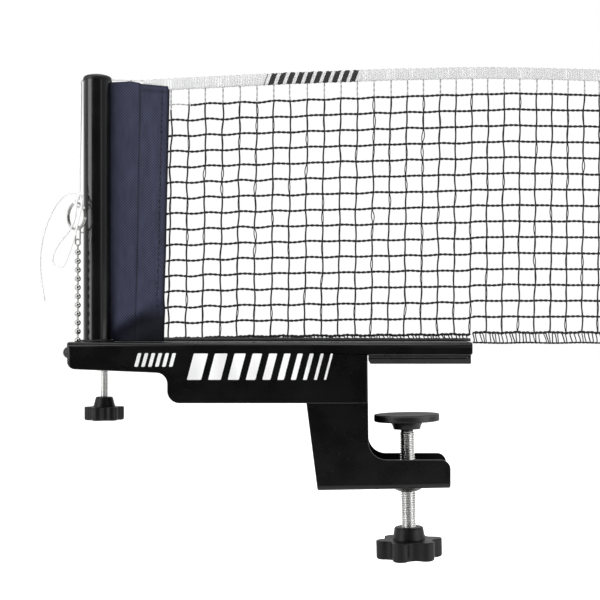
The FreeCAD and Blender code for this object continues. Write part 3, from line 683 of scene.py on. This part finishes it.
def hem_cord():
    """Thicker cord that the net's bottom is gathered on, where it lies on the arm."""
    hem = Threads(sides=8)
    xs = np.arange(LADDER_LEFT, ARM_END, STEP)
    thick = np.interp(xs, (-70, 0), (1.12, 0.93)) + 0.05 * np.sin(xs * 1.3)
    hem.strand(np.stack([xs, np.zeros(len(xs)), HEM_FOOT + thick], axis=1) * MM, thick * MM)
    return hem.build("net_hem_cord", HEM_CORD)


def ladder_stitch():
    """Band along the bottom: two twisted edges and loose rungs between them."""
    ladder = Threads(sides=6)
    for height, spread, half in ((ladder_top, 0.36, 0.42), (ladder_foot, 0.16, 0.37)):
        for start, end in ((LADDER_LEFT, ARM_END), (ARM_END + 0.8, NET_END)):
            xs = np.arange(start, end, STEP)
            centre = np.array([(x, 0, height(x)) for x in xs]) * MM
            plies(ladder, centre, spread * MM, half * MM, 2 * math.pi * xs / 4.6, UPWARDS)
    x = LADDER_LEFT + 0.5
    while x < NET_END - 2.2:
        slant = random.uniform(0.1, 1.9)
        high = ladder_top(x)
        low = ladder_foot(x + slant)
        bend = random.uniform(-0.35, 0.35)
        t = np.linspace(0, 1, 12)
        path = np.stack([x + slant * t + bend * np.sin(math.pi * t), 0.25 * np.sin(2 * math.pi * t),
                         high + (low - high) * t], axis=1)
        if not (x < ARM_END < x + slant):
            ladder.strand(path * MM, random.uniform(0.27, 0.34) * MM)
        x += random.uniform(1.25, 2.35)
    return ladder.build("net_ladder_stitch", LOOKS["net_thread"])


row_piece = net_rows()
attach(row_piece, "post")
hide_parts("net_mesh")
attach(net_columns(), "post")
white_piece = white_columns()
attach(white_piece, "post")
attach(hem_cord(), "post")
ladder_piece = ladder_stitch()
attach(ladder_piece, "post")
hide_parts("net_bottom_band")


# ---- cloth: the tape and the sleeve are thin layers with a Solidify thickness ----
def cloth_object(name, points, rows, values, thickness):
    obj = mesh_object(name, np.array(points) * MM, grid_faces(rows, len(points) // rows), True, values)
    solid = obj.modifiers.new("cloth", "SOLIDIFY")
    solid.thickness = thickness * MM
    solid.offset = 0
    return obj


def top_tape():
    """One knitted strip folded over the net's top, narrower where it runs into the sleeve."""
    xs = np.arange(TAPE_LEFT, NET_END, 0.32)
    front = np.linspace(0, 1, 9)
    points, rib_values, edge_values = [], [], []
    for x in xs:
        top = between(x, TAPE_TOP)
        height = TAPE_HEIGHT * min(1.0, max(0.42, (x - TAPE_LEFT) / 16.0 + 0.42))
        cell = x / 1.35 + 0.8 * wander(x * 0.11, 2.0, 0.0)
        crest = 0.5 + 0.5 * math.cos(2 * math.pi * cell)
        open_rib = max(0.0, wander(math.floor(cell) * 5.3, 7.0, 1.0)) * 2.2
        lift = 0.16 * math.sin(x * 1.7) + 0.10 * math.sin(x * 4.7)
        for side in (-1, 1):
            order = front[::-1] if side < 0 else front
            for part in order:
                full = 0.55 + 0.30 * crest * math.sin(math.pi * min(1, part * 1.05)) ** 0.5
                thick = full * min(1.0, 0.25 + 2.2 * part)
                z = top + lift * (1 - part) - height * part + 0.12 * math.sin(x * 2.3) * part
                points.append((x, side * thick, z))
                rib_values.append(min(1.0, crest * open_rib))
                edge_values.append(max(0.0, 1 - part / 0.14) + max(0.0, 1 - (1 - part) / 0.16))
    obj = cloth_object("net_tape", points, len(xs), {"rib": rib_values, "edge": edge_values}, 0.25)
    return dress(obj, LOOKS["white_tape"])


tape = top_tape()
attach(tape, "post")
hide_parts("net_top_tape")


# ---- sleeve ----
SLOT_X = -159.6             # where the cloth enters the post
ROD_LOOP = 3.35             # radius of the cloth's loop round the rod
SEAM_FOOT = 13.1
SEAM_HEIGHT = 135
CLOTH = 0.3                 # thickness
LAYERS = 151                # rows of points from the bottom to the top
CLOTH_FOOT = ARM_TOP + 0.07
NEXT_TO_FLANGE = FLANGE_RIGHT + 0.08
SLEEVE_FOOT = ((-158.3, 12.58), (-157.7, 12.33), (-157.46, 11.9), (NEXT_TO_FLANGE, CLOTH_FOOT))
SLEEVE_TOP = ((-170, 150.3), (-160, 150.4), (-148, 150.9), (-143.8, 150.1), (-143.2, 149.6), (-128, 148.3))


def seam_x(z):
    return -131.2 + 3.0 * (z - 12.9) / (148.2 - 12.9)


def sleeve_top(x):
    """Upper edge of the cloth, a little lower where the net joins."""
    return between(x, SLEEVE_TOP)


def sleeve_bottom(x):
    """Lower edge: over the guide bush's rounded flange at the post, then down to the arm."""
    return between(x, SLEEVE_FOOT)


def sleeve_push(x, z):
    """How far the cloth stands towards -Y: the bottom fold and the slack in the middle."""
    free = clamped((x - SLOT_X) / 5.0)
    across = ((x + 159) * -17 + (z - 18.5) * 28) / 32.8     # distance above the diagonal fold
    fold = 2.0 * (hump(across, 8.0) if across > 0 else hump(across, 3.4))
    fold += 0.9 * hump(across - 11, 5.0)
    under = -1.1 * hump(across + 6.5, 4.0)
    slack = 0.55 * wander(x * 0.09, 1.0, z * 0.018) + 0.12 * wander(x * 0.3, 3.0, z * 0.06)
    return free * (fold + under + slack)


def cloth_strip(name, outline, look, painted_shade_at):
    """Cloth swept up from the bottom to the top; outline(part) gives its points there."""
    points, shade_values = [], []
    for layer in range(LAYERS):
        for x, y, z in outline(layer / (LAYERS - 1)):
            points.append((x, y, z))
            # painted shade for each point, which the cloth material reads as its edge attribute
            shade_values.append(painted_shade_at(x, z))
    return dress(cloth_object(name, points, LAYERS, {"edge": shade_values}, CLOTH), look)


def sleeve_outline(part):
    """Front layer from the seam to the slot, once round the rod, and the back layer."""
    right = seam_x(SEAM_FOOT + part * SEAM_HEIGHT) - 1.2
    xs = [right + (NEXT_TO_FLANGE - right) * i / 25 for i in range(26)]
    xs += [-157.46, -157.7, -158.3, SLOT_X]
    front, back = [], []
    for x in xs:
        z = sleeve_bottom(x) + part * (sleeve_top(x) - sleeve_bottom(x))
        gap = 0.32 + 0.35 * math.sin(math.pi * clamped((x - SLOT_X) / 28))
        front.append((x, -gap - sleeve_push(x, z), z))
        back.append((x, gap - sleeve_push(x, z), z))
    loop = []
    z_rod = 13.3 + part * (144.3 - 13.3)
    for i in range(1, 20):
        angle = math.radians(-12 - 336 * i / 20)
        loop.append((POST_X + ROD_LOOP * math.cos(angle), ROD_LOOP * math.sin(angle), z_rod))
    return front + loop + back[::-1]


def fold_shade(x, z):
    """Darker cloth below the diagonal crease at the bottom."""
    crease = 17.5 + (x + 159) * 0.58 if x < -143 else 26.8 + (x + 143) * 0.12
    depth = between(x, ((-158, 0.52), (-142, 0.97)))
    return depth * eased(clamped((crease - z) / 7.5 + 0.35))


def sleeve_painted_shade(x, z):
    # Painted shade: darker along the top edge, where the cloth enters the slot, and below the bottom crease.
    top = sleeve_top(x) - z
    slot = x - SLOT_X
    return clamped(max(0.6 * max(0.0, 1 - top / 0.7), fold_shade(x, z), 0.8 * hump(slot, 1.2)))


def binding_left(z):
    return -145.9 + 2.4 * (z - 12.9) / 135.3


def binding_outline(part):
    """Strip folded over the net's end: front layer, round the edge, back layer."""
    half = 1.12
    z_mid = SEAM_FOOT + part * SEAM_HEIGHT
    left = binding_left(z_mid)
    right = seam_x(z_mid)
    bend = right - 0.6
    front, back, turn = [], [], []
    for i in range(17):
        x = left + (bend - left) * i / 16
        z = CLOTH_FOOT + part * (sleeve_top(x) - 0.2 - CLOTH_FOOT)
        front.append((x, -half - sleeve_push(x, z), z))
        back.append((x, half - sleeve_push(x, z), z))
    z = CLOTH_FOOT + part * (sleeve_top(right) - 0.2 - CLOTH_FOOT)
    for angle in (-60, -30, 0, 30, 60):
        across = half * math.sin(math.radians(angle))
        turn.append((bend + 0.95 * math.cos(math.radians(angle)), across - sleeve_push(bend, z), z))
    return front + turn + back[::-1]


def binding_painted_shade(x, z):
    # Painted shade: dark lines along the binding's left, right and top edges, a hem line below the top, and darker
    # cloth below the bottom crease.
    left = x - binding_left(z)
    right = seam_x(z) - x
    top = sleeve_top(x) - z
    hem = 0.8 * hump(top - 3.4, 0.5) if left > 1 else 0.0
    marks = max(0.9 * hump(left, 0.6), 0.85 * hump(right, 0.6), 0.95 * hump(top - 0.2, 0.5), hem)
    return clamped(max(marks, fold_shade(x, z)))


def sleeve_stitches():
    """Running stitch down both sides of the binding, and frayed ends at the sleeve's top."""
    threads = Threads(sides=6)
    for side in (-1, 1):
        z = SEAM_FOOT + 1.0
        while z < 147.0:
            x = seam_x(z) - 3.3 + 0.15 * math.sin(z)
            path = []
            for t in np.linspace(0, 1, 6):
                up = z + 2.0 * t
                path.append((x, side * (1.27 + 0.16 * math.sin(math.pi * t)) - sleeve_push(x, up), up))
            threads.strand(np.array(path) * MM, 0.20 * MM)
            z += 3.1
    steps = np.linspace(0, 1, 7)
    for across, up, reach in ((-0.9, 0.7, 1.6), (0.2, 1.0, 1.9), (0.8, 0.55, 1.5), (-0.3, 0.9, 1.2)):
        fray = np.stack([-148.6 + across * reach * steps, -0.3 - 0.25 * np.sin(2 * steps),
                         150.3 + up * reach * steps - 0.5 * steps ** 2], axis=1)
        threads.strand(fray * MM, 0.16 * MM)
    return threads.build("sleeve_stitches", NAVY_STITCH)


sleeve = cloth_strip("sleeve_cloth", sleeve_outline, LOOKS["navy_fabric"], sleeve_painted_shade)
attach(sleeve, "post")
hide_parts("net_sleeve")
binding = cloth_strip("sleeve_binding", binding_outline, LOOKS["navy_fabric"], binding_painted_shade)
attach(binding, "post")
stitches = sleeve_stitches()
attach(stitches, "post")


# ---- screws ----
LEAN = math.asin(-JOINTS["clamp_travel"]["axis"][0])        # angle from the vertical
LEAN_HEIGHT = -61.0                                         # height of the point it leans about
HEIGHT_SCREW_X = JOINTS["height_screw_turn"]["pos_m"][0] / MM


def leaned(points):
    """The clamp screw leans with the lower jaw's floor, about a point on its axis."""
    x, y, z = points[:, 0], points[:, 1], points[:, 2] - LEAN_HEIGHT
    return np.stack([x * math.cos(LEAN) - z * math.sin(LEAN), y,
                     x * math.sin(LEAN) + z * math.cos(LEAN) + LEAN_HEIGHT], axis=1)


def screw_piece(name, axis_x, profile, major, pitch, sides, step, place=None):
    """
    Screw with a right-hand helical thread, and how deep each point lies in its groove.
    The profile lists (height, radius) from the bottom up; its first stretch is the thread, radius None.
    """
    depth = 0.44 * pitch
    heights = []
    for (low, _), (high, _) in zip(profile[:-1], profile[1:]):
        count = max(1, int(round((high - low) / step)))
        heights += [low + (high - low) * i / count for i in range(count)]
    heights.append(profile[-1][0])
    marks = [h for h, r in profile]
    thread_start, thread_end = marks[:2]
    angles = np.arange(sides) * 2 * math.pi / sides
    points = []
    grooves = []
    for z in heights:
        which = max(i for i in range(len(marks)) if marks[i] <= z + 1e-9)
        plain = profile[which][1]
        if plain is None:
            turn = (z / pitch - angles / (2 * math.pi)) % 1.0
            wave = np.abs(2 * turn - 1)
            radius = major - depth + depth * np.clip(1.28 * wave - 0.12, 0, 1)
            fade = min(1.0, (z - thread_start) / pitch + 0.25, (thread_end - z) / pitch + 0.25)
            radius = major - depth + (radius - major + depth) * max(0.0, fade)
            # groove depth, which the screw material uses as painted shade
            grooves.append(np.clip(1.15 - 1.5 * wave, 0, 1))
        else:
            radius = np.full(sides, plain)
            grooves.append(np.zeros(sides))
        ring = [axis_x + radius * np.cos(angles), radius * np.sin(angles), np.full(sides, z)]
        points.append(np.stack(ring, axis=1))
    faces = grid_faces(len(heights), sides, True)
    faces.append(tuple(range(sides - 1, -1, -1)))
    end = (len(heights) - 1) * sides
    faces.append(tuple(end + k for k in range(sides)))
    points = np.concatenate(points)
    if place:
        points = place(points)
    obj = mesh_object(name, points * MM, faces, True, {"groove": np.concatenate(grooves)})
    return dress(obj, SCREW_ZINC)


CLAMP_PROFILE = [(-101.0, None), (-36.7, 3.2), (-36.5, 2.5), (-33.3, 2.5), (-33.28, 3.6), (-31.7, 3.6)]
HEIGHT_PROFILE = [(-28.0, None), (3.0, 1.5), (3.1, 1.4)]
clamp_screw = screw_piece("clamp_screw_thread", 0.0, CLAMP_PROFILE, 4.0, 1.25, 48, 0.09, leaned)
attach(clamp_screw, "clamp_screw")
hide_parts("clamp_screw")
height_screw = screw_piece("height_screw_thread", HEIGHT_SCREW_X, HEIGHT_PROFILE, 2.0, 0.7, 36, 0.055)
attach(height_screw, "height_screw")
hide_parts("height_screw")


# ---- printed bars on the arm, in place of the lettering ----
INK = 0.04                  # how far the print stands proud of the arm
INK_ROOT = 0.02             # how far its back lies inside the arm
SMALL_BAR_PITCH = 3.6
SMALL_BARS = [(-143.0 + SMALL_BAR_PITCH * i, 1.9) for i in range(6)]
LARGE_BAR_GAP = 3.6
LARGE_BAR_WIDTHS = (7.4, 6.6, 5.8, 5.0, 4.2, 3.4, 2.7, 2.1, 1.6, 1.2)


def toward(here, there):
    away = there - here
    return away / np.linalg.norm(away)


def bar_outline(left, width, low, high, slant):
    """Corners of a parallelogram, each one rounded off by three points."""
    corners = [(left, low), (left + width, low), (left + width + slant, high), (left + slant, high)]
    corners = [np.array(corner, float) for corner in corners]
    outline = []
    for i, here in enumerate(corners):
        back = toward(here, corners[i - 1])
        ahead = toward(here, corners[(i + 1) % 4])
        outline += [here + back * 0.45, here + (back + ahead) * 0.13, here + ahead * 0.45]
    return outline


def slanted_bars(name, bars, low, high, slant):
    """Thin printed parallelograms on the arm's front: bars lists (left edge, width)."""
    points, faces = [], []
    for left, width in bars:
        outline = bar_outline(left, width, low, high, slant)
        base = len(points)
        size = len(outline)
        for y in (ARM_FRONT - INK, ARM_FRONT + INK_ROOT):
            points += [(u, y, v) for u, v in outline]
        faces.append(tuple(base + k for k in range(size)))
        faces.append(tuple(base + size + k for k in reversed(range(size))))
        for k in range(size):
            after = (k + 1) % size
            faces.append((base + after, base + k, base + size + k, base + size + after))
    return dress(mesh_object(name, np.array(points) * MM, faces, False), WHITE_PRINT)


large_bars = []
bar_left = -115.6
for bar_width in LARGE_BAR_WIDTHS:
    large_bars.append((bar_left, bar_width))
    bar_left += bar_width + LARGE_BAR_GAP
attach(slanted_bars("arm_bars_small", SMALL_BARS, -1.5, 5.6, 1.9), "bracket")
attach(slanted_bars("arm_bars_large", large_bars, -8.3, 5.4, 3.6), "bracket")


# ---- finishes on the CAD nodes ----
for subpart in frame["record"]["subparts"]:
    node = NODES[subpart["node"]]
    node.data.materials.clear()
    node.data.materials.append(LOOKS[subpart["material_slot"]].material)
for name in ("arm_channel", "jaw_channel", "pad_carrier"):
    NODES[name].data.materials.append(BRACKET_EDGE_HIGHLIGHT.material)
    weld = NODES[name].modifiers.new("joined", "WELD")
    weld.merge_threshold = 0.002 * MM
    bevel = NODES[name].modifiers.new("broken_edges", "BEVEL")
    bevel.width = 0.28 * MM
    bevel.segments = 2
    bevel.limit_method = "ANGLE"
    bevel.angle_limit = math.radians(50)
    bevel.harden_normals = True
    # the bevel faces take the lighter second material, a painted highlight
    bevel.material = 1
    bevel.use_clamp_overlap = False


# ---- stage: floor, lights and room ----
FLOOR_Z = -0.128
FLOOR_R = 6
FLOOR_SIDES = 72


def pale_floor():
    """White disc; its far front is left out of reflections, so the black paint stays black."""
    points = [(0, 0, FLOOR_Z)]
    for i in range(FLOOR_SIDES):
        angle = 2 * math.pi * i / FLOOR_SIDES
        points.append((FLOOR_R * math.cos(angle), FLOOR_R * math.sin(angle), FLOOR_Z))
    faces = [(0, i, i % FLOOR_SIDES + 1) for i in range(1, FLOOR_SIDES + 1)]
    look = Paint("floor", (0.90, 0.90, 0.90), 0.9)
    look.shader.inputs["Emission Color"].default_value = (1, 1, 1, 1)
    rays = look.add("ShaderNodeLightPath")
    mirrored = look.math("MULTIPLY", rays.outputs["Is Glossy Ray"],
                         look.spread(look.axis("Y"), -0.42, -0.20, 1, 0))
    look.tint(look.mix(mirrored, look.color, (0.02, 0.02, 0.02)))
    glow = look.math("MULTIPLY_ADD", rays.outputs["Is Camera Ray"], 0.65, 0.15)
    glow = look.math("MULTIPLY", glow, look.math("SUBTRACT", 1.0, mirrored))
    look.link(glow, look.shader.inputs["Emission Strength"])
    return dress(mesh_object("floor", points, faces, False), look)


pale_floor()


def soft_light(name, place, aim, size, power):
    light = bpy.data.lights.new(name, "AREA")
    light.shape = "RECTANGLE"
    light.size, light.size_y = size
    light.energy = power
    obj = bpy.data.objects.new(name, light)
    obj.location = place
    obj.rotation_euler = (Vector(aim) - Vector(place)).to_track_quat("-Z", "Y").to_euler()
    obj.visible_camera = False
    bpy.context.scene.collection.objects.link(obj)


soft_light("overhead", (-0.05, -0.10, 1.1), (-0.03, 0, 0.05), (1.3, 0.8), 11.0)
soft_light("left_strip", (-0.77, -0.44, 0.12), (-0.16, 0, 0.05), (0.42, 1.2), 6.5)
soft_light("right_strip", (0.55, -0.75, 0.15), (-0.05, 0, 0.05), (0.16, 1.1), 0.5)
soft_light("screw_fill", (0.30, -0.16, -0.055), (0, 0, -0.06), (0.26, 0.12), 0.42)


def studio_world():
    """White room to the camera; to the part, dark in front, brighter at the sides and behind."""
    world = bpy.data.worlds.new("studio")
    bpy.context.scene.world = world
    world.use_nodes = True
    tree = world.node_tree
    tree.nodes.clear()

    def node(kind, inputs=None, **settings):
        made = tree.nodes.new(kind)
        for key, value in settings.items():
            setattr(made, key, value)
        for socket, value in (inputs or {}).items():
            if isinstance(value, bpy.types.NodeSocket):
                tree.links.new(value, made.inputs[socket])
            else:
                made.inputs[socket].default_value = value
        return made

    direction = node("ShaderNodeTexCoord").outputs["Generated"]
    split = node("ShaderNodeSeparateXYZ", {"Vector": direction})
    behind = node("ShaderNodeMapRange", {"Value": split.outputs["Y"], "From Min": -0.35, "From Max": 0.75,
                                         "To Min": 0.06, "To Max": 0.90})
    sideways = node("ShaderNodeMath", {0: split.outputs["X"]}, operation="ABSOLUTE")
    beside = node("ShaderNodeMapRange", {"Value": sideways.outputs["Value"], "From Min": 0.40,
                                         "From Max": 0.90, "To Max": 0.30})
    room = node("ShaderNodeMath", {0: behind.outputs["Result"], 1: beside.outputs["Result"]})
    seen = node("ShaderNodeLightPath").outputs["Is Camera Ray"]
    strength = node("ShaderNodeMath", {0: room.outputs["Value"], 1: seen}, operation="MAXIMUM")
    background = node("ShaderNodeBackground", {"Strength": strength.outputs["Value"],
                                               "Color": (1, 1, 1, 1)})
    node("ShaderNodeOutputWorld", {"Surface": background.outputs["Background"]})


studio_world()
bpy.context.scene.view_settings.view_transform = "Standard"
